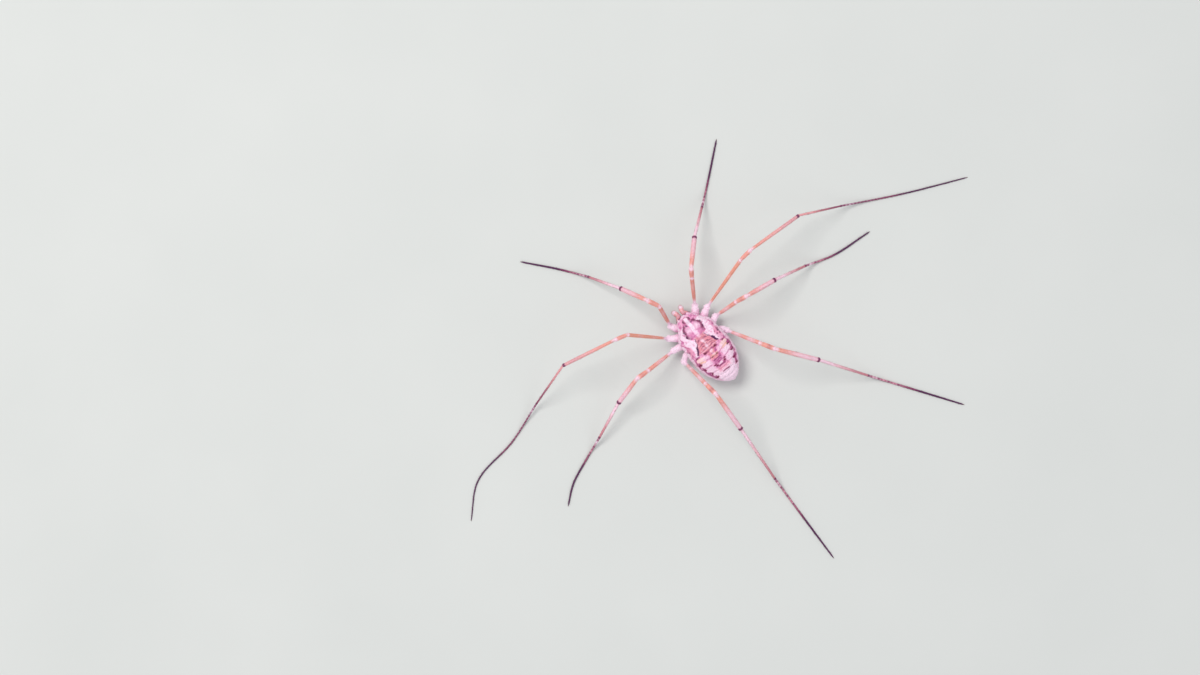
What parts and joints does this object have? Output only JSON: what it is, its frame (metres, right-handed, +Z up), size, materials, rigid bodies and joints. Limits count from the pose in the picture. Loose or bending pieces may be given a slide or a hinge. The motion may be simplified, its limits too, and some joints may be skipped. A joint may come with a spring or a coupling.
{
  "type": "harvestman",
  "caption": "Life-size still model of a harvestman crouched on a flat floor, its long jointed legs spread wide, body in one low oval with an eye mound.",
  "frame": {"origin": "the middle of the footprint, on the floor that the feet rest on", "axes": "the animal faces -Y, its right side is towards -X, and +Z is up"},
  "size_m": [0.0526, 0.0374, 0.0065],
  "materials": {
    "body_cuticle": "matte, lilac-pink with a mauve saddle",
    "coxa_cuticle": "matte, pale pink with white tubercles",
    "leg_cuticle": "satin, salmon with pale rings at the joints",
    "tarsus_cuticle": "matte, dark purple-brown",
    "eye": "glossy black"
  },
  "bodies": {
    "root": {"abdomen": "body_cuticle", "chelicera_left": "coxa_cuticle", "chelicera_right": "coxa_cuticle", "eye_left": "eye", "eye_right": "eye", "leg_1_left_coxa": "coxa_cuticle", "leg_1_left_femur": "leg_cuticle", "leg_1_left_metatarsus": "leg_cuticle", "leg_1_left_patella": "leg_cuticle", "leg_1_left_tarsus": "tarsus_cuticle", "leg_1_left_tibia": "leg_cuticle", "leg_1_right_coxa": "coxa_cuticle", "leg_1_right_femur": "leg_cuticle", "leg_1_right_metatarsus": "leg_cuticle", "leg_1_right_patella": "leg_cuticle", "leg_1_right_tarsus": "tarsus_cuticle", "leg_1_right_tibia": "leg_cuticle", "leg_2_left_coxa": "coxa_cuticle", "leg_2_left_femur": "leg_cuticle", "leg_2_left_metatarsus": "leg_cuticle", "leg_2_left_patella": "leg_cuticle", "leg_2_left_tarsus": "tarsus_cuticle", "leg_2_left_tibia": "leg_cuticle", "leg_2_right_coxa": "coxa_cuticle", "leg_2_right_femur": "leg_cuticle", "leg_2_right_metatarsus": "leg_cuticle", "leg_2_right_patella": "leg_cuticle", "leg_2_right_tarsus": "tarsus_cuticle", "leg_2_right_tibia": "leg_cuticle", "leg_3_left_coxa": "coxa_cuticle", "leg_3_left_femur": "leg_cuticle", "leg_3_left_metatarsus": "leg_cuticle", "leg_3_left_patella": "leg_cuticle", "leg_3_left_tarsus": "tarsus_cuticle", "leg_3_left_tibia": "leg_cuticle", "leg_3_right_coxa": "coxa_cuticle", "leg_3_right_femur": "leg_cuticle", "leg_3_right_metatarsus": "leg_cuticle", "leg_3_right_patella": "leg_cuticle", "leg_3_right_tarsus": "tarsus_cuticle", "leg_3_right_tibia": "leg_cuticle", "leg_4_left_coxa": "coxa_cuticle", "leg_4_left_femur": "leg_cuticle", "leg_4_left_metatarsus": "leg_cuticle", "leg_4_left_patella": "leg_cuticle", "leg_4_left_tarsus": "tarsus_cuticle", "leg_4_left_tibia": "leg_cuticle", "leg_4_right_coxa": "coxa_cuticle", "leg_4_right_femur": "leg_cuticle", "leg_4_right_metatarsus": "leg_cuticle", "leg_4_right_patella": "leg_cuticle", "leg_4_right_tarsus": "tarsus_cuticle", "leg_4_right_tibia": "leg_cuticle", "pedipalp_left_femur": "leg_cuticle", "pedipalp_left_tarsus": "leg_cuticle", "pedipalp_right_femur": "leg_cuticle", "pedipalp_right_tarsus": "leg_cuticle", "prosoma": "body_cuticle"}
  },
  "joints": []
}
